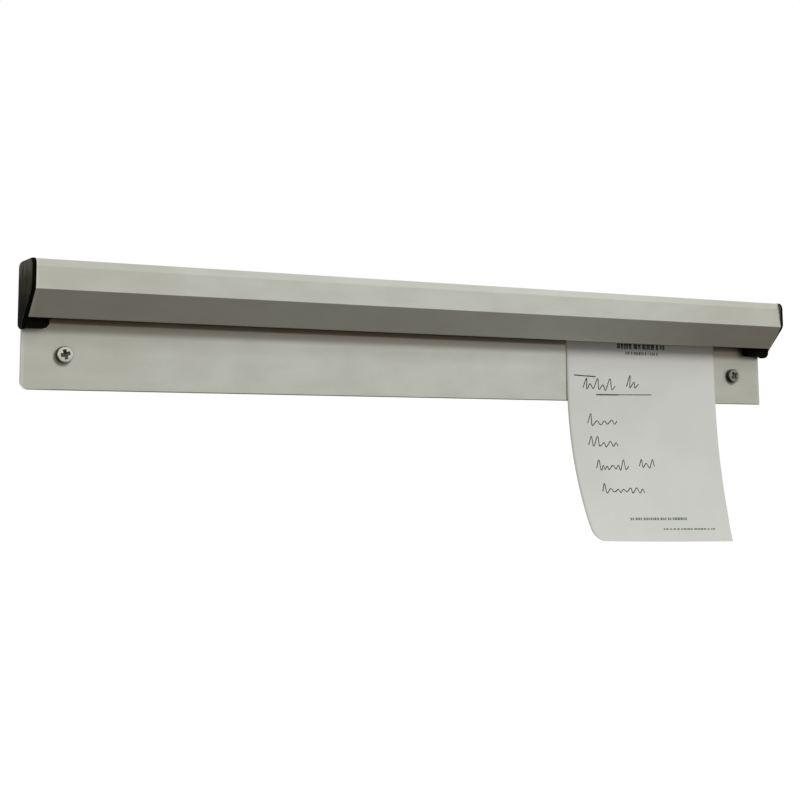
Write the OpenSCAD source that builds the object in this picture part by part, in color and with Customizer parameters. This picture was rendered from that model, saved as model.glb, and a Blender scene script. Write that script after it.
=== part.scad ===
// Wall-mounted order ticket rail. An extruded aluminium plate carries a hood with a slot under it.
// Two moulded end caps close the hood, and a row of loose glass balls inside rolls down the
// slanted lower wall and pinches paper against the plate.
// X runs along the rail, Y into the wall (0 is the wall), Z up.
// The origin is on the wall, midway between the two screws.
// Outlines are lists of [depth, height]: depth out from the wall, height above the plate's lower edge.

/* [Rail] */
// Length of the extrusion
rail_l = 457.2; // [300:0.1:1220]
// Height of the wall plate, up to the top of the hood
rail_h = 60; // [54:0.5:90]
// Thickness of the wall plate
plate_t = 1.5; // [1.2:0.1:2]
// Thickness of the hood's walls
wall_t = 1.5; // [1.2:0.1:2]
// Depth of the hood at its top edge
ridge_d = 21.2; // [20.5:0.1:22]
// Depth of the hood at the lower edge of its top bevel
bevel_d = 22.4; // [22.1:0.1:22.9]
// Depth of the hood at its nose, where the front wall meets the slanted wall
nose_d = 23; // [22.9:0.1:24]
// Depth of the lip, the outer corner of the slanted wall's lower edge
lip_d = 12.4; // [11.5:0.1:13]
// Height of the top bevel
bevel_h = 3.5; // [2:0.1:5]
// Drop from the top of the hood to its nose
nose_drop = 14.4; // [13.5:0.1:15.5]
// Drop from the top of the hood to its lip
lip_drop = 27; // [26:0.1:28]
// Corner radius behind the top of the hood
back_r = 3; // [2:0.1:4]
// Radius on the extrusion's sharp edges
edge_r = 0.5; // [0.2:0.1:0.7]
// Radius on the plate's lower left corner
left_corner_r = 4; // [1:0.5:8]
// Radius on the plate's lower right corner
right_corner_r = 1; // [0.5:0.5:8]

/* [End caps] */
// Thickness of the flange over the extrusion's end
cap_t = 2; // [1.5:0.1:3]
// Bevel round the flange's outer face
cap_bevel = 0.8; // [0.3:0.1:1]
// How far the flange stands above the top of the hood
cap_over = 0.3; // [0.1:0.1:0.6]
// How far the flange stands in front of the nose
cap_proud = 0.5; // [0.1:0.1:0.8]
// Gap between the flange and the wall behind it
cap_back = 0.8; // [0.2:0.1:1.2]
// Length of the plug inside the hood and of the foot below it
plug_l = 12; // [10:0.5:20]
// Clearance between the plug and the extrusion
plug_fit = 0.15; // [0.05:0.05:0.3]
// Wall left round the plug's cored pockets
plug_wall = 1.6; // [1.2:0.1:2]
// Thickness of the ribs between the pockets
rib_t = 1.4; // [1:0.1:2]
// Depth of the foot that closes the slot's end
foot_d = 9.6; // [8:0.1:10]
// How far the foot hangs below the lip
foot_drop = 4; // [3:0.1:6]
// How far the flange hangs below the foot
flange_drop = 0.9; // [0.3:0.1:1.5]
// Bevel on the foot's inner lower edge
foot_bevel = 2; // [0.5:0.1:2.5]
// Taper of the foot's front towards its inner end
foot_taper = 3.4; // [1:0.1:4]

/* [Balls] */
// Diameter of a glass ball
ball_d = 16; // [14:0.1:17]
// Running clearance round a ball
ball_gap = 0.15; // [0.1:0.05:0.2]

/* [Screws] */
// Distance from the rail's end to a screw
screw_inset = 21; // [16:0.5:40]
// Height of the screws above the plate's lower edge
screw_z = 17; // [10:0.5:20]
// Diameter of the screw's head
head_d = 8; // [7:0.1:9]
// Height of the screw's head
head_h = 2.4; // [2:0.1:3]
// Radius round the head's top
head_r = 0.6; // [0.3:0.1:0.9]
// Diameter of the plain neck in the plate's hole
neck_d = 4.4; // [3.5:0.1:4.5]
// Diameter of the threaded part behind the plate
thread_d = 4; // [3:0.1:4.2]
// Length of the screw under its head
screw_l = 25.4; // [16:0.1:40]
// Width of the screw's blunted tip
tip_d = 0.4; // [0.2:0.1:1]
// Diameter of the plate's screw holes
hole_d = 4.7; // [4.6:0.1:5.5]
// Width across the cross recess
recess_w = 5; // [3.5:0.1:5.4]
// Width of one wing of the cross recess
wing_t = 1.4; // [0.8:0.1:1.6]
// Depth of the cross recess
recess_h = 1.7; // [1:0.1:1.9]
// Turn of the left screw's recess, in degrees
left_turn = 15; // [0:5:90]
// Turn of the right screw's recess, in degrees
right_turn = 35; // [0:5:90]

/* [Ticket] */
// Width of the paper
ticket_w = 108; // [60:1:110]
// Length of the paper
ticket_l = 139.7; // [80:0.1:210]
// Thickness of the paper
paper_t = 0.2; // [0.1:0.05:0.3]
// Distance from the ticket's right edge to the rail's right end
ticket_inset = 35.3; // [20:0.1:60]
// Clearance between the paper and what lies beside it
paper_gap = 0.1; // [0.05:0.05:0.15]
// Angle at which the paper leaves the slot, in degrees from the plate
hang_deg = 0.5; // [0.1:0.1:8]
// Length over which it bends to that angle, just below the slot
bend_l = 6; // [2:0.5:15]
// Bow of the hanging paper from there to its lower edge, in degrees
bow_deg = 0.5; // [0.1:0.1:8]
// Extra turn of the curled lower left corner, in degrees
curl_deg = 30; // [5:0.1:36]
// Length below the slot at which the paper starts to curl
curl_from = 29; // [20:1:60]
// Radius of the rounded lower left corner
round_r = 8; // [2:0.5:15]

/* [Hidden] */
arc_steps = 6;
overlap = 0.5;
lip_r = 0.46 * wall_t;
lip_z = rail_h - lip_drop;
nose_z = rail_h - nose_drop;
hole_x = rail_l / 2 - screw_inset;

// Flange and foot
cap_top = rail_h + cap_over;
cap_front = nose_d + cap_proud;
foot_z = lip_z - foot_drop;
cap_bottom = foot_z - flange_drop;
cap_back_r = back_r + cap_over;
cap_front_r = 3.5;
cap_nose_r = 5;
cap_throat_r = 0.8;
cap_toe_r = 3.2;
cap_heel_r = 3;
throat_drop = 1.2;

// Slanted wall: a unit vector up its slope, and one square to it, into the hood
slope = unit([nose_d - lip_d, nose_z - lip_z]);
inward = [-slope[1], slope[0]];

// Row of balls between the plugs
race_l = rail_l - 2 * plug_l;
ball_count = floor(race_l / (ball_d + ball_gap));
ball_pitch = race_l / ball_count;
ball_r = ball_d / 2;

// Ticket
ticket_right = rail_l / 2 - ticket_inset;
ticket_left = ticket_right - ticket_w;
paper_space = paper_t + 2 * paper_gap;
paper_reach = sqrt(2 * ball_r * paper_space);
ticket_top = rail_h - wall_t - edge_r - paper_gap;
hang_l = ticket_l - (ticket_top - lip_z);
bow = bow_deg / hang_l;
curl = curl_deg / (hang_l - curl_from);
curl_falloff = 1.5;
curl_power = 0.7;
sheet_cols = 14;
sheet_rows = 32;
round_rows = 6;

ball_names = [for (i = [1:ball_count]) str("ball_", i < 10 ? "0" : "", i)];

function unit(v) = v / norm(v);

// Where a ball rests: touching the slanted wall, and as far in front of the plate as forward says
function seat(forward) =
  let (
    depth = plate_t + ball_gap + forward + ball_r,
    off = wall_t + ball_gap + ball_r,
    along = (depth - lip_d - off * inward[0]) / slope[0]
  )
  [depth, lip_z + off * inward[1] + along * slope[1]];

// Points of the arc that rounds corner b between its neighbours a and c
function corner(a, b, c, r) =
  r == 0 ? [b] :
  let (
    u = unit(a - b),
    v = unit(c - b),
    half = acos(u * v) / 2,
    centre = b + unit(u + v) * r / sin(half),
    from = b + u * r / tan(half) - centre,
    start = atan2(from[1], from[0]),
    side = u[0] * v[1] - u[1] * v[0] > 0 ? -1 : 1,
    sweep = side * (180 - 2 * half)
  )
  [for (i = [0:arc_steps]) centre + r * [cos(start + sweep * i / arc_steps), sin(start + sweep * i / arc_steps)]];

// Outline through corners given as [depth, height, radius]
function rounded(c) =
  let (n = len(c), p = [for (q = c) [q[0], q[1]]])
  [for (i = [0:n - 1]) each corner(p[(i + n - 1) % n], p[i], p[(i + 1) % n], c[i][2])];

// Outline moved inwards by d. The points run anticlockwise
function inset(p, d) =
  let (n = len(p))
  [for (i = [0:n - 1])
    let (
      u = unit(p[i] - p[(i + n - 1) % n]),
      v = unit(p[(i + 1) % n] - p[i]),
      left_u = [-u[1], u[0]],
      left_v = [-v[1], v[0]]
    )
    p[i] + d * (left_u + left_v) / (1 + left_u * left_v)];

// Outer line of the extrusion: up the back, along the top, down the front and in to the lip
outer = [
  [0, 0],
  [0, rail_h],
  [ridge_d, rail_h],
  [bevel_d, rail_h - bevel_h],
  [nose_d, nose_z],
  [lip_d, lip_z]
];
thick = [plate_t, wall_t, wall_t, wall_t, wall_t];

// Inner line, each stretch its own thickness in from the outer one
function across(i) = let (u = unit(outer[i + 1] - outer[i])) [u[1], -u[0]];
function inner_corner(i) =
  let (m = across(i - 1), n = across(i), c = m * n)
  outer[i] + (m * (thick[i - 1] - c * thick[i]) + n * (thick[i] - c * thick[i - 1])) / (1 - c * c);
inner = [for (i = [1:4]) inner_corner(i)];
inner_lip = outer[5] + across(4) * wall_t;

// Extrusion's section, with the radius of each corner
section = [
  [0, 0, 0],
  [0, rail_h, back_r],
  [ridge_d, rail_h, edge_r],
  [bevel_d, rail_h - bevel_h, edge_r],
  [nose_d, nose_z, edge_r],
  [lip_d, lip_z, lip_r],
  [inner_lip[0], inner_lip[1], lip_r],
  [inner[3][0], inner[3][1], edge_r],
  [inner[2][0], inner[2][1], edge_r],
  [inner[1][0], inner[1][1], edge_r],
  [inner[0][0], inner[0][1], edge_r],
  [plate_t, 0, 0]
];

// Flange's outline, anticlockwise from the bottom at the wall
flange = rounded([
  [cap_back, cap_bottom, cap_heel_r],
  [foot_d, cap_bottom, cap_toe_r],
  [foot_d, lip_z - throat_drop, cap_throat_r],
  [cap_front, nose_z, cap_nose_r],
  [cap_front, cap_top, cap_front_r],
  [cap_back, cap_top, cap_back_r]
]);

// Plug's outline: the hood's inside, and the foot where the slot's end is
slope_at_foot = inner_lip - slope * (inner_lip[0] - foot_d) / slope[0];
plug = inset([
  [plate_t, foot_z - plug_fit],
  [foot_d, foot_z - plug_fit],
  slope_at_foot,
  inner[3],
  inner[2],
  inner[1],
  inner[0]
], plug_fit);

// Draws an outline of [depth, height] and carries it along X from x for a length
module run(outline, x, length) {
  translate([x, 0, -screw_z])
    rotate([90, 0, 90])
      linear_extrude(length)
        polygon([for (p = outline) [-p[0], p[1]]]);
}

// Joins two outlines of as many points, one at x and the other at x + length
module skin(from, to, x, length) {
  n = len(from);
  translate([x, 0, -screw_z])
    polyhedron(
      points = concat([for (p = from) [0, -p[0], p[1]]], [for (p = to) [length, -p[0], p[1]]]),
      faces = concat(
        [[for (i = [n - 1:-1:0]) i]],
        [[for (i = [0:n - 1]) n + i]],
        [for (i = [0:n - 1]) [i, (i + 1) % n, n + (i + 1) % n, n + i]]
      )
    );
}

// Sharp lower corner of the plate left outside radius r; side is -1 at the left end and 1 at the right
module corner_waste(side, r) {
  reach = plate_t + 2 * overlap;
  translate([side * rail_l / 2, -plate_t - overlap, -screw_z])
    mirror([side > 0 ? 1 : 0, 0, 0])
      difference() {
        translate([-overlap, 0, -overlap])
          cube([r + overlap, reach, r + overlap]);
        translate([r, -overlap, r])
          rotate([-90, 0, 0])
            cylinder(r = r, h = reach + 2 * overlap, $fn = 48);
      }
}

// Extruded aluminium plate and hood, with two screw holes and eased lower corners
module rail() {
  color("#b3b4aa")
    difference() {
      run(rounded(section), -rail_l / 2, rail_l);
      for (side = [-1, 1])
        translate([side * hole_x, overlap, 0])
          rotate([90, 0, 0])
            cylinder(d = hole_d, h = plate_t + 2 * overlap, $fn = 48);
      corner_waste(-1, left_corner_r);
      corner_waste(1, right_corner_r);
    }
}

// Cored pockets of a plug, open at its inner end, with a cross of ribs left where the last ball stops
module plug_pockets() {
  rest = seat(0);
  pocket_l = plug_l - plug_wall;
  difference() {
    intersection() {
      run(inset(plug, plug_wall), rail_l / 2 - plug_l - overlap, pocket_l + overlap);
      translate([rail_l / 2 - plug_l - 2 * overlap, -cap_front, lip_z + plug_wall - screw_z])
        cube([plug_l + overlap, cap_front, lip_drop]);
    }
    translate([rail_l / 2 - plug_l - 2 * overlap, -rest[0] - rib_t / 2, -screw_z])
      cube([plug_l + overlap, rib_t, rail_h]);
    translate([rail_l / 2 - plug_l - 2 * overlap, -cap_front, rest[1] - rib_t / 2 - screw_z])
      cube([plug_l + overlap, cap_front, rib_t]);
  }
}

// What a bevel of width w takes off a square corner at the origin
module corner_cut(w) {
  polygon([[-overlap, -overlap], [w, -overlap], [w, 0], [0, w], [-overlap, w]]);
}

// Moulded end cap, as it sits on the right end: bevelled flange, cored plug and solid foot
module end_cap() {
  end = rail_l / 2;
  union() {
    run(flange, end, cap_t - cap_bevel);
    skin(flange, inset(flange, cap_bevel), end + cap_t - cap_bevel, cap_bevel);
    difference() {
      run(plug, end - plug_l, plug_l + overlap);
      plug_pockets();
      translate([end - plug_l, overlap, foot_z - screw_z])
        rotate([90, 0, 0])
          linear_extrude(cap_front)
            corner_cut(foot_bevel);
      translate([end - plug_l, -foot_d, foot_z - overlap - screw_z])
        linear_extrude(foot_drop + overlap)
          corner_cut(foot_taper);
    }
  }
}

module end_cap_right() {
  color("#1c1b18")
    end_cap();
}

module end_cap_left() {
  color("#1c1b18")
    mirror([1, 0, 0])
      end_cap();
}

// Cross-recess pan-head wood screw: head on the plate's face, thread in the wall.
// It is drawn along Z with the wall at 0 and then turned so that it points into the wall
module screw(x, turn) {
  head_top = plate_t + head_h;
  tip_l = thread_d;
  deep = recess_h + overlap;
  color("#c9c9c4")
    translate([x, 0, 0])
      rotate([90, 0, 0])
        difference() {
          union() {
            translate([0, 0, plate_t])
              rotate_extrude($fn = 64)
                polygon(rounded([
                  [0, 0, 0],
                  [head_d / 2, 0, 0],
                  [head_d / 2, head_h, head_r],
                  [0, head_h, 0]
                ]));
            cylinder(d = neck_d, h = plate_t + overlap, $fn = 48);
            translate([0, 0, plate_t + tip_l - screw_l])
              cylinder(d = thread_d, h = screw_l - plate_t - tip_l, $fn = 48);
            translate([0, 0, plate_t - screw_l])
              cylinder(d1 = tip_d, d2 = thread_d, h = tip_l, $fn = 48);
          }
          rotate([0, 0, turn])
            intersection() {
              union() {
                for (a = [0, 90])
                  rotate([0, 0, a])
                    translate([-recess_w, -wing_t / 2, head_top - recess_h])
                      cube([2 * recess_w, wing_t, deep]);
              }
              translate([0, 0, head_top - recess_h])
                cylinder(d1 = recess_w / 2, d2 = recess_w / 2 * (1 + deep / recess_h), h = deep, $fn = 48);
            }
        }
}

// Position along the rail of ball i, counted from 1 at the left
function ball_x(i) = -race_l / 2 + (i - 0.5) * ball_pitch;

// A ball over the paper rests in front of it
function over_ticket(x) = x > ticket_left - paper_reach && x < ticket_right + paper_reach;

module ball(i) {
  rest = seat(over_ticket(ball_x(i)) ? paper_space - ball_gap : 0);
  color("#9fb8b0")
    translate([ball_x(i), -rest[0], rest[1] - screw_z])
      sphere(d = ball_d, $fn = 48);
}

// End of an arc that starts at p, at angle a from the vertical, and turns k degrees per millimetre for length s
function arc_end(p, a, k, s) =
  p + [cos(a) - cos(a + k * s), sin(a) - sin(a + k * s)] * 180 / (PI * k);

// Point and angle of the hanging paper at x from its left edge and length s below the lip
function hang(x, s) =
  let (
    bend_k = hang_deg / bend_l + bow,
    curl_k = bow + curl * pow(1 - x / (ticket_w * curl_falloff), curl_power),
    s1 = min(s, bend_l),
    s2 = max(0, min(s, curl_from) - bend_l),
    s3 = max(0, s - curl_from),
    a1 = bend_k * s1,
    a2 = a1 + bow * s2,
    a3 = a2 + curl_k * s3,
    p1 = arc_end([plate_t + paper_gap, lip_z], 0, bend_k, s1),
    p2 = arc_end(p1, a1, bow, s2)
  )
  [arc_end(p2, a2, curl_k, s3), a3];

// Point of the paper at column i and row j, moved off its back face by t. Row 0 is the top edge,
// row 1 is at the lip, and the last rows follow the rounded corner
function paper_point(i, j, t) =
  let (
    square_rows = sheet_rows - round_rows,
    round_a = max(0, j - square_rows) * 90 / round_rows,
    from_left = round_r * (1 - cos(round_a)),
    x = from_left + (ticket_w - from_left) * i / sheet_cols,
    below = (hang_l - round_r) * (min(j, square_rows) - 1) / (square_rows - 1) + round_r * sin(round_a),
    h = hang(x, max(0, below)),
    p = j == 0 ? [plate_t + paper_gap, ticket_top] : h[0],
    q = p + t * [cos(h[1]), sin(h[1])]
  )
  [ticket_left + x, -q[0], q[1] - screw_z];

// Paper ticket: straight between the plate and the balls, then hanging down and curling forwards at its end
module ticket() {
  cols = sheet_cols + 1;
  side = cols * (sheet_rows + 1);
  function at(i, j, f) = f * side + j * cols + i;
  color("#c6c8c2")
    polyhedron(
      points = [for (f = [0, 1], j = [0:sheet_rows], i = [0:sheet_cols]) paper_point(i, j, f * paper_t)],
      faces = concat(
        [for (j = [0:sheet_rows - 1], i = [0:sheet_cols - 1]) each [
          [at(i, j, 0), at(i + 1, j, 0), at(i + 1, j + 1, 0)],
          [at(i, j, 0), at(i + 1, j + 1, 0), at(i, j + 1, 0)],
          [at(i, j, 1), at(i + 1, j + 1, 1), at(i + 1, j, 1)],
          [at(i, j, 1), at(i, j + 1, 1), at(i + 1, j + 1, 1)]
        ]],
        [for (j = [0:sheet_rows - 1]) each [
          [at(0, j, 0), at(0, j + 1, 0), at(0, j + 1, 1), at(0, j, 1)],
          [at(sheet_cols, j, 0), at(sheet_cols, j, 1), at(sheet_cols, j + 1, 1), at(sheet_cols, j + 1, 0)]
        ]],
        [for (i = [0:sheet_cols - 1]) each [
          [at(i, 0, 0), at(i, 0, 1), at(i + 1, 0, 1), at(i + 1, 0, 0)],
          [at(i, sheet_rows, 0), at(i + 1, sheet_rows, 0), at(i + 1, sheet_rows, 1), at(i, sheet_rows, 1)]
        ]]
      )
    );
}

rail();
end_cap_left();
end_cap_right();
screw(-hole_x, left_turn);  // screw_left
screw(hole_x, right_turn);  // screw_right
ticket();
for (i = [1:ball_count]) ball(i);
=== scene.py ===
import math
import random

import bmesh
import bpy
from mathutils import Matrix, Vector


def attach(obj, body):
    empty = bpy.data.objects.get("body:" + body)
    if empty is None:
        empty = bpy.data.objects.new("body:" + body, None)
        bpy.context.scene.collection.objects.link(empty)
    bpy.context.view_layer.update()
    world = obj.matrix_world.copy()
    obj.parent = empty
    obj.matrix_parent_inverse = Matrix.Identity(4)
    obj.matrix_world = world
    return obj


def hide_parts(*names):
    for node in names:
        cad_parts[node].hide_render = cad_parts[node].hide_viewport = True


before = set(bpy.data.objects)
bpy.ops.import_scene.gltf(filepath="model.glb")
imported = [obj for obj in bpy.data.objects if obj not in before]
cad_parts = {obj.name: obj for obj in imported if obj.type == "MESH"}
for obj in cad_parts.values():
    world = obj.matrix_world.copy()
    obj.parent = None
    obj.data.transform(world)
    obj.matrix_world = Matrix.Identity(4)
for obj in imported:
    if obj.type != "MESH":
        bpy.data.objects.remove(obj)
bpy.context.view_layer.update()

# Camera. It stands to the left of the rail and a little under it, as someone looks who has just
# hung a ticket up. Its angles were solved from the rail's own edges and screws.
CAMERA_PLACE = (-0.44423, -0.74287, -0.05889)
CAMERA_TURN = math.radians(29.620)
CAMERA_TILT = math.radians(8.087)
CAMERA_ROLL = math.radians(-0.425)
SENSOR = 36.0
FOCAL_PIXELS = 1596.18
PICTURE = 800
AIM_ROW = 250

camera = bpy.data.objects.new("camera", bpy.data.cameras.new("camera"))
camera.data.sensor_width = SENSOR
camera.data.lens = FOCAL_PIXELS * SENSOR / PICTURE
camera.data.shift_y = (AIM_ROW - PICTURE / 2) / PICTURE
forward = Vector((
    math.sin(CAMERA_TURN) * math.cos(CAMERA_TILT),
    math.cos(CAMERA_TURN) * math.cos(CAMERA_TILT),
    math.sin(CAMERA_TILT),
))
level_right = Vector((math.cos(CAMERA_TURN), -math.sin(CAMERA_TURN), 0))
level_up = level_right.cross(forward)
right = level_right * math.cos(CAMERA_ROLL) + level_up * math.sin(CAMERA_ROLL)
axes = Matrix((right, right.cross(forward), -forward)).transposed().to_4x4()
camera.matrix_world = Matrix.Translation(CAMERA_PLACE) @ axes
bpy.context.scene.collection.objects.link(camera)
bpy.context.scene.camera = camera
bpy.context.scene.view_settings.view_transform = "Standard"

# Studio. A low soft lamp in front, to the right, and a bright room that the metal mirrors. Under
# the rail lies a grey card that the camera doesn't see: the hood's lower face mirrors it, as it
# would mirror the counter that such a rail hangs over.
FLOOR_DROP = 1.2
FLOOR_SIZE = 60
FLOOR_SHADE = (0.85, 0.85, 0.85)
FLOOR_GLOW = 0.75
CARD_DROP = 0.30
CARD_SIZE = 3.4
CARD_ASIDE = 0.3
CARD_BEHIND = 0.3
CARD_SHADE = (0.310, 0.296, 0.277)
WHITE = (1, 1, 1)
AMBIENT = 0.50
LAMP_ELEVATION = math.radians(27)
LAMP_TURN = math.radians(26)
LAMP_DISTANCE = 2.6
LAMP_SIZE = (1.5, 1.0)
LAMP_WATTS = 44


class Value:
    """A socket of a material's nodes that can stand in a Python sum."""

    def __init__(self, finish, socket):
        self.finish, self.socket = finish, socket

    def sum_node(self, operation, *inputs):
        """One step of a sum, on values or plain numbers."""
        return self.finish.node("ShaderNodeMath", {"operation": operation}, dict(enumerate(inputs)))

    def __add__(self, other):
        return self.sum_node("ADD", self, other)

    def __sub__(self, other):
        return self.sum_node("SUBTRACT", self, other)

    def __rsub__(self, other):
        return self.sum_node("SUBTRACT", other, self)

    def __mul__(self, other):
        return self.sum_node("MULTIPLY", self, other)

    __radd__ = __add__
    __rmul__ = __mul__

    def larger(self, other):
        """The larger of two values."""
        return self.sum_node("MAXIMUM", self, other)

    def size(self):
        """Its value without its sign."""
        return self.sum_node("ABSOLUTE", self)

    def rise(self, low, high):
        """0 up to low, 1 from high on, smooth between."""
        inputs = {"Value": self, "From Min": low, "From Max": high}
        return self.finish.node("ShaderNodeMapRange", {"interpolation_type": "SMOOTHSTEP"}, inputs)


class Finish:
    """The nodes of a material or of the world, added one after the other before its shader."""

    def __init__(self, owner, shader="Principled BSDF"):
        owner.use_nodes = True
        self.owner, self.tree = owner, owner.node_tree
        self.shader = self.tree.nodes[shader]

    def node(self, kind, settings, inputs, output=0):
        """Adds a node: its settings first, then the values or links of its sockets."""
        made = self.tree.nodes.new(kind)
        for name, setting in settings.items():
            setattr(made, name, setting)
        for name, given in inputs.items():
            self.feed(made.inputs[name], given)
        return Value(self, made.outputs[output])

    def feed(self, socket, given):
        """Links a value to a socket, or sets the socket's own number or colour."""
        if isinstance(given, Value):
            self.tree.links.new(given.socket, socket)
        elif socket.type == "RGBA":
            socket.default_value = (*given, 1)
        else:
            socket.default_value = given

    def set(self, **inputs):
        """Sets the shader's sockets, with _ for a space in their names."""
        for name, given in inputs.items():
            self.feed(self.shader.inputs[name.replace("_", " ")], given)

    def seen(self):
        """1 for what the camera sees straight, mirrored or through glass, and 0 for light."""
        kinds = ("Camera", "Glossy", "Transmission")
        rays = [self.node("ShaderNodeLightPath", {}, {}, f"Is {kind} Ray") for kind in kinds]
        return rays[0].larger(rays[1]).larger(rays[2])

    def noise(self, waves, detail=3, roughness=0.5):
        """Soft noise from 0 to 1, with so many waves to the metre along each axis."""
        place = self.node("ShaderNodeTexCoord", {}, {}, "Object")
        place = self.node("ShaderNodeMapping", {}, {"Vector": place, "Scale": waves})
        inputs = {"Vector": place, "Scale": 1, "Detail": detail, "Roughness": roughness}
        return self.node("ShaderNodeTexNoise", {}, inputs)

    def along(self, axis):
        """1 where the surface is square to an axis, 0 where it lies along it."""
        normal = self.node("ShaderNodeNewGeometry", {}, {}, "Normal")
        return self.node("ShaderNodeSeparateXYZ", {}, {"Vector": normal}, axis).size()

    def place(self, axis):
        """How far along an axis a point lies, in metres."""
        place = self.node("ShaderNodeTexCoord", {}, {}, "Object")
        return self.node("ShaderNodeSeparateXYZ", {}, {"Vector": place}, axis)

    def tint(self, amount, low, high):
        """The colour low where amount is 0, high where it is 1."""
        return self.node("ShaderNodeMix", {"data_type": "RGBA"}, {0: amount, 6: low, 7: high}, 2)

    def bump(self, height, depth):
        """The normal of a surface whose height goes from 0 to depth, in metres."""
        inputs = {"Height": height, "Distance": depth, "Strength": 1}
        return self.node("ShaderNodeBump", {}, inputs)


def board(name, size, place):
    """A square board that lies flat."""
    mesh = bmesh.new()
    bmesh.ops.create_grid(mesh, x_segments=1, y_segments=1, size=size / 2)
    made = bpy.data.objects.new(name, bpy.data.meshes.new(name))
    mesh.to_mesh(made.data)
    mesh.free()
    made.location = place
    bpy.context.scene.collection.objects.link(made)
    return made


def dress(piece, finish):
    """Gives a piece or a CAD solid its one material."""
    piece.data.materials.clear()
    piece.data.materials.append(finish.owner)


world = bpy.data.worlds.new("studio")
bpy.context.scene.world = world
air = Finish(world, "Background")
air.set(Color=WHITE, Strength=air.seen() * (1 - AMBIENT) + AMBIENT)

floor = board("floor", FLOOR_SIZE, (0, 0, -FLOOR_DROP))
floor_paint = Finish(bpy.data.materials.new("floor_paint"))
floor_paint.set(Base_Color=FLOOR_SHADE, Roughness=0.9, Emission_Color=WHITE)
floor_paint.set(Emission_Strength=floor_paint.seen() * FLOOR_GLOW)
dress(floor, floor_paint)

card = board("grey_card", CARD_SIZE, (CARD_ASIDE, CARD_BEHIND - CARD_SIZE / 2, -CARD_DROP))
card_paint = Finish(bpy.data.materials.new("card_paint"))
card_paint.set(Base_Color=CARD_SHADE, Roughness=1, Specular_IOR_Level=0)
dress(card, card_paint)
card.visible_camera = card.visible_shadow = card.visible_transmission = False

lamp = bpy.data.objects.new("softbox", bpy.data.lights.new("softbox", "AREA"))
lamp.data.shape = "RECTANGLE"
lamp.data.size, lamp.data.size_y = LAMP_SIZE
lamp.data.energy = LAMP_WATTS
lamp_way = Vector((
    math.sin(LAMP_TURN) * math.cos(LAMP_ELEVATION),
    -math.cos(LAMP_TURN) * math.cos(LAMP_ELEVATION),
    math.sin(LAMP_ELEVATION),
))
lamp.location = lamp_way * LAMP_DISTANCE
lamp.rotation_euler = lamp_way.to_track_quat("Z", "Y").to_euler()
lamp.visible_glossy = False
bpy.context.scene.collection.objects.link(lamp)

# Rail. One sawn length of satin anodised extrusion: a plate against the wall and a hood over the
# slot. Its die leaves fine lines and steam leaves it cloudy. Brown painted shade darkens the
# plate in and below the slot, round the screw heads and along its lower edge, and darkens the
# hood's upper face; the right part below the nose is darker too. Painted highlights lighten the
# ridge and the sawn ends.
ALUMINIUM = (0.580, 0.594, 0.535)
ALUMINIUM_DULL = (0.500, 0.497, 0.428)
RIDGE_HIGHLIGHT = (0.630, 0.640, 0.572)
# The brown of the rail's painted shade; it also darkens the right part.
PAINTED_SHADE_BROWN = (0.135, 0.113, 0.075)
SAWN = (0.36, 0.355, 0.32)
RAIL_END = 0.2286
PLATE_FACE = 0.0015
PLATE_FOOT = -0.017
NOSE_HEIGHT = 0.0285
RIDGE_HEIGHT = 0.0390
SCREW_X = 0.2076
MIDDLE_REACH = (0.08, 0.21)
DARKENING_REACH = (0.06, 0.21)
# Painted shade of the hood on the plate: heights and shares, strongest in the slot at the lip.
SLOT_SHADE_STEPS = (
    (0.0000, 0.0080, 0.12),
    (0.0085, 0.0125, 0.56),
    (0.0143, 0.0151, 0.32),
)
SHADOW_LEFT = 0.0009
SHADOW_DROP = 0.0011
SHADOW_SQUARED = (13e-6, 27e-6)
LINE_DEPTH = 5e-6
SAW_DEPTH = 5

anodised = Finish(bpy.data.materials.new("satin_aluminium"))
die_lines = anodised.noise((3, 1500, 1500), detail=2)
broad_lines = anodised.noise((1.5, 300, 300), detail=3)
clouds = anodised.noise((30, 60, 60), detail=6, roughness=0.62)
drifts = anodised.noise((7, 9, 9), detail=2)
saw_marks = anodised.noise((900, 2600, 160), detail=2)
end_face = anodised.along("X").rise(0.8, 0.95)
length, depth, height = (anodised.place(axis) for axis in "XYZ")
middle = 1 - length.size().rise(*MIDDLE_REACH)
# Cloudy, and lighter in the middle than towards both ends.
lighter_tone = clouds.rise(0.3, 0.7) * 0.45 + broad_lines * 0.15 + middle * 0.4
metal = anodised.tint(lighter_tone, ALUMINIUM_DULL, ALUMINIUM)

# Painted highlights: patches along the ridge, most in the middle, and a strip at each end.
ridge = height.rise(RIDGE_HEIGHT, RIDGE_HEIGHT + 0.0010)
painted_ridge_highlight = ridge * drifts.rise(0.35, 0.6) * (middle * 0.7 + 0.1)
painted_end_highlight = length.size().rise(RAIL_END - 0.0020, RAIL_END - 0.0008) * 0.6
metal = anodised.tint(painted_ridge_highlight.larger(painted_end_highlight), metal, RIDGE_HIGHLIGHT)

in_front = 1 - depth.rise(-PLATE_FACE + 0.0003, -PLATE_FACE + 0.0007)
plate_front = depth.rise(-PLATE_FACE - 0.0006, -PLATE_FACE - 0.0002)
# Painted shade under the hood, on the plate's face only, in cloudy patches.
painted_slot_shade = sum(height.rise(low, high) * share for low, high, share in SLOT_SHADE_STEPS)
painted_slot_shade = painted_slot_shade * plate_front * (0.85 + clouds * 0.3)
below_nose = 1 - height.rise(NOSE_HEIGHT - 0.0005, NOSE_HEIGHT + 0.0005)
# Darker towards the right end below the nose, more on the hood than on the plate.
right_end_darkening = length.rise(*DARKENING_REACH) * below_nose * (0.23 - plate_front * 0.07)
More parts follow.
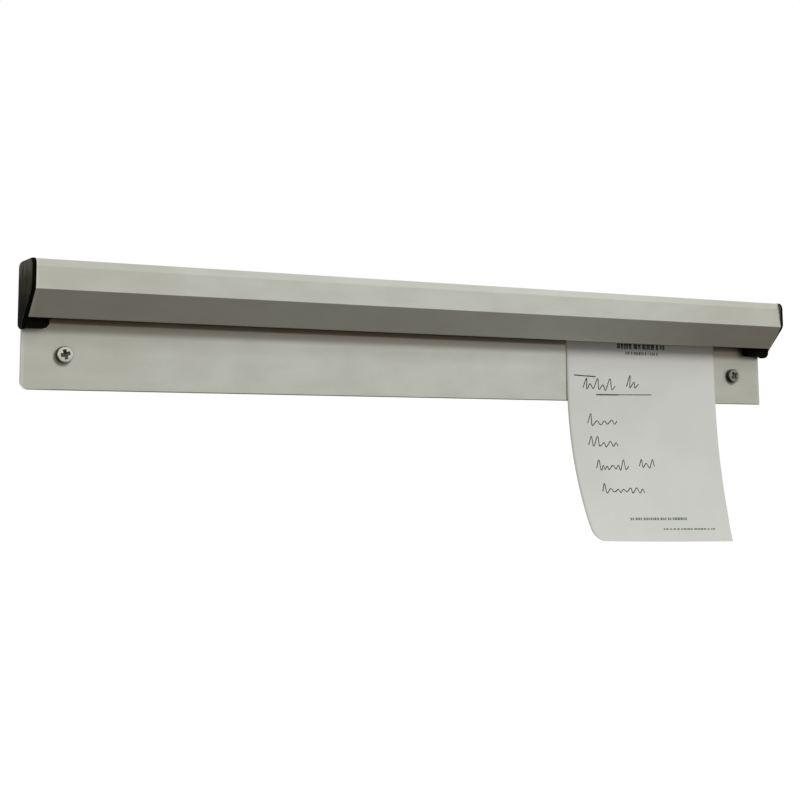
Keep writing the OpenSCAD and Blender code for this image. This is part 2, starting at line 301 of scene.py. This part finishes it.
# Painted shadow round each screw head, shifted left and down from it.
aside, under = (length + SHADOW_LEFT).size() - SCREW_X, height + SHADOW_DROP
painted_screw_shadow = (1 - (aside * aside + under * under).rise(*SHADOW_SQUARED)) * 0.85
# Painted shade: a thin dark line along the plate's lower edge, broken in places.
foot = 1 - height.rise(PLATE_FOOT + 0.0003, PLATE_FOOT + 0.0006)
painted_edge_shade = foot * drifts.rise(0.3, 0.5) * 0.88
# Painted shade: the hood's face between the nose and the ridge a little darker.
above_nose = height.rise(NOSE_HEIGHT, NOSE_HEIGHT + 0.0010)
painted_facet_shade = above_nose * (1 - height.rise(RIDGE_HEIGHT, RIDGE_HEIGHT + 0.0005)) * 0.061
# The rail's painted shade and the darker right part, on its front only.
painted_shade_and_darkening = (painted_slot_shade + right_end_darkening).larger(painted_facet_shade).larger(painted_screw_shadow).larger(painted_edge_shade) * in_front
metal = anodised.tint(painted_shade_and_darkening, metal, PAINTED_SHADE_BROWN)

lines = (die_lines * 0.6 + broad_lines * 0.4) * (1 - end_face)
anodised.set(
    Base_Color=anodised.tint(end_face, metal, SAWN),
    Metallic=1,
    Roughness=0.46 - clouds * 0.10 + end_face * 0.12,
    Normal=anodised.bump(lines + saw_marks * end_face * SAW_DEPTH, LINE_DEPTH),
)
dress(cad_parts["rail"], anodised)

# End caps. Black plastic mouldings, pushed into the hood's ends until their flanges meet the saw
# cut. The mould was sparked to a fine grain. Their outsides carry a painted sheen, lightest near
# the top, and the outermost edges of the bevel a painted highlight.
FLANGE_THICKNESS = 0.002
CAP_END = RAIL_END + FLANGE_THICKNESS
CAP_BLACK = (0.004, 0.0042, 0.0022)
CAP_SHEEN = (0.058, 0.054, 0.034)
CAP_TOP_SHEEN = (0.160, 0.158, 0.120)
CAP_EDGE_HIGHLIGHT = (0.085, 0.080, 0.055)
SHEEN_HEIGHTS = (0.019, 0.031)
TOP_SHEEN_HEIGHTS = (0.032, 0.042)
GRAIN_DEPTH = 10e-6

moulded = Finish(bpy.data.materials.new("cap_plastic"))
grain = moulded.noise((2600, 2600, 2600), detail=2)
scuffs = moulded.noise((120, 260, 90), detail=4, roughness=0.65)
outside = moulded.along("X").rise(0.85, 0.95)
cap_height = moulded.place("Z")
outermost = moulded.place("X").size().rise(CAP_END - 0.0003, CAP_END - 0.0001)
# Painted sheen on the outer faces, lighter higher up and lightest near the top.
painted_sheen = cap_height.rise(*SHEEN_HEIGHTS) * outside * scuffs.rise(0.25, 0.7)
painted_top_sheen = cap_height.rise(*TOP_SHEEN_HEIGHTS) * outside * scuffs.rise(0.2, 0.6)
# Painted highlight along the outermost edge of the bevel.
painted_bevel_highlight = outermost * (1 - outside) * scuffs.rise(0.3, 0.6)
plastic = moulded.tint(painted_sheen, CAP_BLACK, CAP_SHEEN)
plastic = moulded.tint(painted_top_sheen, plastic, CAP_TOP_SHEEN)
moulded.set(
    Base_Color=moulded.tint(painted_bevel_highlight, plastic, CAP_EDGE_HIGHLIGHT),
    Roughness=scuffs * 0.10 + 0.58,
    Specular_IOR_Level=0.01,
    Normal=moulded.bump(grain, GRAIN_DEPTH),
)
for side in ("left", "right"):
    dress(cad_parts[f"end_cap_{side}"], moulded)

# Balls. A row of clear pressed glass balls, loose in the hood, with the faint green of bottle
# glass and surfaces dulled by rolling on metal.
GLASS = (0.86, 0.94, 0.91)
GLASS_SWIRL = (0.78, 0.90, 0.86)

pressed = Finish(bpy.data.materials.new("clear_glass"))
swirl = pressed.noise((160, 160, 160), detail=2)
scratches = pressed.noise((900, 900, 900), detail=4)
pressed.set(
    Base_Color=pressed.tint(swirl.rise(0.45, 0.65), GLASS, GLASS_SWIRL),
    Roughness=scratches.rise(0.5, 0.8) * 0.10 + 0.02,
    Transmission_Weight=1,
    IOR=1.52,
)
for name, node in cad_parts.items():
    if name.startswith("ball_"):
        dress(node, pressed)

# Screws. Two zinc-plated steel wood screws with pan heads and cross recesses hold the plate to
# the wall. Their faces keep the zinc's colour, and painted shade darkens the sides of the heads
# and the recesses.
SCREW_LENGTH = 0.0254
HEAD_RADIUS = 0.004
HEAD_HEIGHT = 0.0024
HEAD_CROWN = 0.00015
HEAD_ROUND = 0.0006
HEAD_FACE = -PLATE_FACE - HEAD_HEIGHT
NECK_RADIUS = 0.0022
NECK_END = 0.0017
THREAD_RADIUS = 0.002
THREAD_START = 0.0018
THREAD_PITCH = 0.0018
THREAD_SHARE = 0.26
CORE_RADIUS = 0.00135
POINT_LENGTH = 0.004
POINT_BLUNTNESS = 0.04
RECESS_REACH = 0.0024
RECESS_WING = 0.0017
RECESS_DEPTH = 0.0017
RECESS_CONE = 1.4
RECESS_SLOPE = 6
ROUND_STEPS = 64
FACE_STEPS = 36
CORNER_STEPS = 6
THREAD_STEPS = 150
RUN_IN_STEPS = 8
BLOOM_DEPTH = 8e-6
ZINC = (0.62, 0.63, 0.55)
ZINC_DULL = (0.235, 0.23, 0.19)
ZINC_PAINTED_SHADE = (0.105, 0.105, 0.080)
SCREWS = (("left", -SCREW_X, 15, ZINC), ("right", SCREW_X, 35, ZINC_DULL))


def recess(x, z):
    """Depth of the cross recess at a point of the head, measured from its middle."""
    arm = max(
        min(RECESS_WING / 2 - abs(x), RECESS_REACH - abs(z)),
        min(RECESS_WING / 2 - abs(z), RECESS_REACH - abs(x)),
    )
    deepest = RECESS_DEPTH * (1 - math.hypot(x, z) / (RECESS_CONE * RECESS_REACH))
    return max(0, min(RECESS_SLOPE * arm, deepest))


def screw_point(radius, depth, angle):
    """A point at a radius from the screw's axis, so far behind the plate's face."""
    return (radius * math.cos(angle), depth - PLATE_FACE, radius * math.sin(angle))


def screw_rings(turn):
    """The screw as rings of points, from the middle of the head's face to the point."""
    angles = [2 * math.pi * i / ROUND_STEPS for i in range(ROUND_STEPS)]
    flat = HEAD_RADIUS - HEAD_ROUND
    for step in range(1, FACE_STEPS + 1):
        radius = flat * step / FACE_STEPS
        crown = HEAD_CROWN * (radius / flat) ** 2
        ring = []
        for angle in angles:
            sink = recess(radius * math.cos(angle - turn), radius * math.sin(angle - turn))
            ring.append(screw_point(radius, sink + crown - HEAD_HEIGHT, angle))
        yield ring
    for step in range(1, CORNER_STEPS + 1):
        corner = math.pi / 2 * step / CORNER_STEPS
        radius = flat + HEAD_ROUND * math.sin(corner)
        depth = HEAD_CROWN - HEAD_HEIGHT + HEAD_ROUND * (1 - math.cos(corner))
        yield [screw_point(radius, depth, angle) for angle in angles]
    neck = ((HEAD_RADIUS, 0), (NECK_RADIUS, 0), (NECK_RADIUS, PLATE_FACE), (CORE_RADIUS, NECK_END))
    for radius, depth in neck:
        yield [screw_point(radius, depth, angle) for angle in angles]
    for step in range(THREAD_STEPS + 1):
        depth = THREAD_START + (SCREW_LENGTH - THREAD_START) * step / THREAD_STEPS
        taper = min(1, (SCREW_LENGTH - depth) / POINT_LENGTH + POINT_BLUNTNESS)
        run_in = min(1, step / RUN_IN_STEPS)
        ring = []
        for angle in angles:
            crest = (depth / THREAD_PITCH + angle / (2 * math.pi)) % 1
            thread = max(0, 1 - abs(crest - 0.5) / THREAD_SHARE) * run_in
            radius = CORE_RADIUS + (THREAD_RADIUS - CORE_RADIUS) * thread
            ring.append(screw_point(radius * taper, depth, angle))
        yield ring


def lofted(name, bodies, start=None, end=None):
    """A mesh of closed bodies, each through rings of points and ended in a point or a flat face."""
    mesh = bmesh.new()
    for rings in bodies:
        loops = [[mesh.verts.new(point) for point in ring] for ring in rings]
        for near, far in zip(loops, loops[1:]):
            for i in range(len(near)):
                j = (i + 1) % len(near)
                mesh.faces.new((near[i], near[j], far[j], far[i]))
        for loop, tip in ((loops[0][::-1], start), (loops[-1], end)):
            if tip is None:
                mesh.faces.new(loop)
            else:
                tip = mesh.verts.new(tip)
                for i in range(len(loop)):
                    mesh.faces.new((loop[i], loop[(i + 1) % len(loop)], tip))
    bmesh.ops.recalc_face_normals(mesh, faces=mesh.faces)
    for face in mesh.faces:
        face.smooth = True
    made = bpy.data.objects.new(name, bpy.data.meshes.new(name))
    mesh.to_mesh(made.data)
    mesh.free()
    bpy.context.scene.collection.objects.link(made)
    return made


for side, place, turn, shade in SCREWS:
    plated = Finish(bpy.data.materials.new(f"zinc_plate_{side}"))
    bloom = plated.noise((700, 700, 700), detail=4, roughness=0.6)
    screw_depth = plated.place("Y")
    # Painted shade on the recess and the head's sides; the face and the part in the wall keep the
    # zinc.
    face_unshaded = 1 - screw_depth.rise(HEAD_FACE + 0.00025, HEAD_FACE + 0.0006)
    in_wall = screw_depth.rise(-0.0002, 0.0004)
    bright = face_unshaded.larger(in_wall) * (0.7 + bloom * 0.45)
    plated.set(
        Base_Color=plated.tint(bright, ZINC_PAINTED_SHADE, shade),
        Metallic=1,
        Roughness=bloom * 0.2 + 0.25,
        Normal=plated.bump(bloom, BLOOM_DEPTH),
    )
    face_middle = screw_point(0, RECESS_DEPTH - HEAD_HEIGHT, 0)
    tip = screw_point(0, SCREW_LENGTH, 0)
    screw = lofted(f"wood_screw_{side}", [screw_rings(math.radians(turn))], face_middle, tip)
    screw.data.transform(Matrix.Translation((place, 0, 0)))
    dress(screw, plated)
    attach(screw, "rail")
    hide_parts(f"screw_{side}")

# Ticket. One sheet torn from an order pad, pushed up the slot until the balls pinch it against
# the plate. Painted shade darkens its upper end under the lip. Its lower end has curled towards
# the room, most of all at the rounded left corner.
PAPER_WIDTH = 0.108
PAPER_LENGTH = 0.1397
PAPER_THICKNESS = 0.00014
PAPER_LEFT = 0.0853
PAPER_TOP = 0.0409
PAPER_BACK = 0.0016
LIP_HEIGHT = 0.016
HANGING = PAPER_LENGTH - (PAPER_TOP - LIP_HEIGHT)
BEND_LENGTH = 0.006
BEND_ANGLE = math.radians(0.5)
BOW_ANGLE = math.radians(0.5)
CURL_START = 0.029
CURL_ANGLE = math.radians(30)
CURL_FALLOFF = 1.5
CURL_POWER = 0.7
CORNER_RADIUS = 0.008
CORNER_ROWS = 12
PAPER_COLUMNS = 54
PAPER_ROWS = 84
PULP_DEPTH = 10e-6
LIP_SHADE_HEIGHTS = (-0.006, 0.018)
PAPER = (0.600, 0.605, 0.570)
PAPER_SHADED = (0.570, 0.575, 0.540)
PAPER_LIP_SHADE = (0.520, 0.514, 0.474)


def paper_point(across, down, lift=0.0):
    """The place of a point of the sheet, given from its top left corner, lifted off its back."""
    below = down - (PAPER_LENGTH - HANGING)
    depth, height, angle = PAPER_BACK, LIP_HEIGHT - min(below, 0), 0
    falloff = (1 - across / PAPER_WIDTH / CURL_FALLOFF) ** CURL_POWER
    bow = BOW_ANGLE / HANGING
    curl = CURL_ANGLE / (HANGING - CURL_START) * falloff
    bends = (
        (0, BEND_LENGTH, bow + BEND_ANGLE / BEND_LENGTH),
        (BEND_LENGTH, CURL_START, bow),
        (CURL_START, math.inf, bow + curl),
    )
    for start, stop, bend in bends:
        turned = angle + bend * max(0, min(below, stop) - start)
        depth += (math.cos(angle) - math.cos(turned)) / bend
        height -= (math.sin(turned) - math.sin(angle)) / bend
        angle = turned
    depth += lift * math.cos(angle)
    height += lift * math.sin(angle)
    return Vector((PAPER_LEFT + across, -depth, height))


def paper_ring(row):
    """One closed ring round the sheet at a row: along its front and back along its back."""
    square_rows = PAPER_ROWS - CORNER_ROWS
    corner = math.pi / 2 * max(0, row - square_rows) / CORNER_ROWS
    down = (PAPER_LENGTH - CORNER_RADIUS) * min(row, square_rows) / square_rows
    down += CORNER_RADIUS * math.sin(corner)
    first = CORNER_RADIUS * (1 - math.cos(corner))
    columns = [first + (PAPER_WIDTH - first) * i / PAPER_COLUMNS for i in range(PAPER_COLUMNS + 1)]
    front = [paper_point(across, down, PAPER_THICKNESS) for across in columns]
    return front + [paper_point(across, down) for across in reversed(columns)]


paper = Finish(bpy.data.materials.new("ticket_paper"))
pulp = paper.noise((1800, 1800, 1800), detail=4, roughness=0.7)
handling = paper.noise((30, 30, 30), detail=3)
# Painted shade of the hood on the sheet, darkening upwards to the lip.
painted_lip_shade = paper.place("Z").rise(*LIP_SHADE_HEIGHTS)
handled = paper.tint(handling.rise(0.3, 0.7), PAPER_SHADED, PAPER)
paper.set(
    Base_Color=paper.tint(painted_lip_shade, handled, PAPER_LIP_SHADE),
    Roughness=0.85,
    Specular_IOR_Level=0.25,
    Normal=paper.bump(pulp, PULP_DEPTH),
)
sheet = lofted("order_sheet", [[paper_ring(row) for row in range(PAPER_ROWS + 1)]])
dress(sheet, paper)
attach(sheet, "ticket")
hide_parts("ticket")

# Marks on the ticket. Rows of ballpoint waves that nobody can read, with a line over and a line
# under the first, and printed rows of plain dashes at the pad's head and foot.
INK = (0.014, 0.013, 0.011)
INK_SEED = 12
INK_SINK = 1e-5
INK_RISE = 3e-5
PRINT_DARK = (0.012, 0.026, 0.012)
PRINT_GREEN = (0.090, 0.150, 0.100)
PEN_WIDTH = 0.0006
PEN_START = 0.0014
PEN_STEP = (0.0012, 0.0030)
PEN_SLANT = 0.25
PEN_UP = (0.05, 0.1, 0.15, 0.5)
PEN_DOWN = (0.15, 0.2, 0.25)
STROKE_STEPS = 8
LINE_STEPS = 24
DASH_STEPS = 6
DASH_GAPS = (0.0005, 0.0005, 0.0012)
PEN_ROWS = (
    (0.011, 0.034, 0.0493, 0.0088),
    (0.042, 0.049, 0.0480, 0.0110),
    (0.013, 0.034, 0.0695, 0.0090),
    (0.012, 0.033, 0.0820, 0.0080),
    (0.015, 0.037, 0.0955, 0.0080),
    (0.046, 0.056, 0.0945, 0.0065),
    (0.016, 0.047, 0.1090, 0.0075),
)
PEN_LINES = (
    (0.005, 0.020, 0.0432, 0.0006, 0.0007),
    (0.020, 0.036, 0.0541, -0.0002, 0.0008),
    (0.0361, 0.060, 0.0539, -0.0004, 0.0005),
)
DASH_ROWS = (
    (0.036, 0.071, 0.0256, 0.0030, 0.0032),
    (0.042, 0.066, 0.0296, 0.0017, 0.0009),
    (0.031, 0.074, 0.1261, 0.0015, 0.0018),
    (0.054, 0.095, 0.1322, 0.0009, 0.0026),
)


def strip(points, width):
    """Rings of a flat line of ink along points on the sheet, a hair thicker than nothing."""
    for i, point in enumerate(points):
        near, far = points[max(i - 1, 0)], points[min(i + 1, len(points) - 1)]
        way = (far - near).normalized()
        side = Vector((-way.y, way.x)) * width / 2
        edges = (
            (point - side, -INK_SINK),
            (point - side, INK_RISE),
            (point + side, INK_RISE),
            (point + side, -INK_SINK),
        )
        yield [paper_point(*place, PAPER_THICKNESS + lift) for place, lift in edges]


def straight(start, end, down, slope, steps):
    """Points of a straight line between two distances from the sheet's left edge."""
    shares = [i / steps for i in range(steps + 1)]
    return [Vector((start + (end - start) * share, down + slope * share)) for share in shares]


def pen_wave(start, end, down, height, chance):
    """Points of a loose, uneven pen wave between two distances from the sheet's left edge."""
    turns = [Vector((start, 0.1 * height)), Vector((start + PEN_START, -0.5 * height))]
    while turns[-1].x < end:
        reach = -chance.choice(PEN_UP) if len(turns) % 2 else chance.choice(PEN_DOWN)
        turns.append(Vector((turns[-1].x + chance.uniform(*PEN_STEP), reach * height)))
    for near, far in zip(turns, turns[1:]):
        for i in range(STROKE_STEPS):
            eased = (1 - math.cos(math.pi * i / STROKE_STEPS)) / 2
            rise = near.y + (far.y - near.y) * eased
            across = near.x + (far.x - near.x) * i / STROKE_STEPS
            yield Vector((across - PEN_SLANT * rise, down + rise))


chance = random.Random(INK_SEED)
written = [[strip(list(pen_wave(*row, chance)), PEN_WIDTH)] for row in PEN_ROWS]
for start, end, down, slope, width in PEN_LINES:
    written.append([strip(straight(start, end, down, slope, LINE_STEPS), width)])
printed = []
for start, end, down, width, longest in DASH_ROWS:
    dashes = []
    while start < end:
        stop = min(end, start + chance.uniform(0.4, 1) * longest)
        dashes.append(strip(straight(start, stop, down, 0, DASH_STEPS), width))
        start = stop + chance.choice(DASH_GAPS)
    printed.append(dashes)

inks = (
    ("pen", INK, written),
    ("head", PRINT_DARK, printed[:2]),
    ("foot", PRINT_GREEN, printed[2:]),
)
for name, colour, rows in inks:
    ink = Finish(bpy.data.materials.new(f"{name}_ink"))
    blots = ink.noise((900, 900, 900), detail=3)
    ink.set(Base_Color=ink.tint(blots.rise(0.4, 0.8) * 0.4, colour, PAPER_SHADED), Roughness=0.6)
    for i, row in enumerate(rows, 1):
        mark = lofted(f"{name}_row_{i:02d}", row)
        dress(mark, ink)
        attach(mark, "ticket")
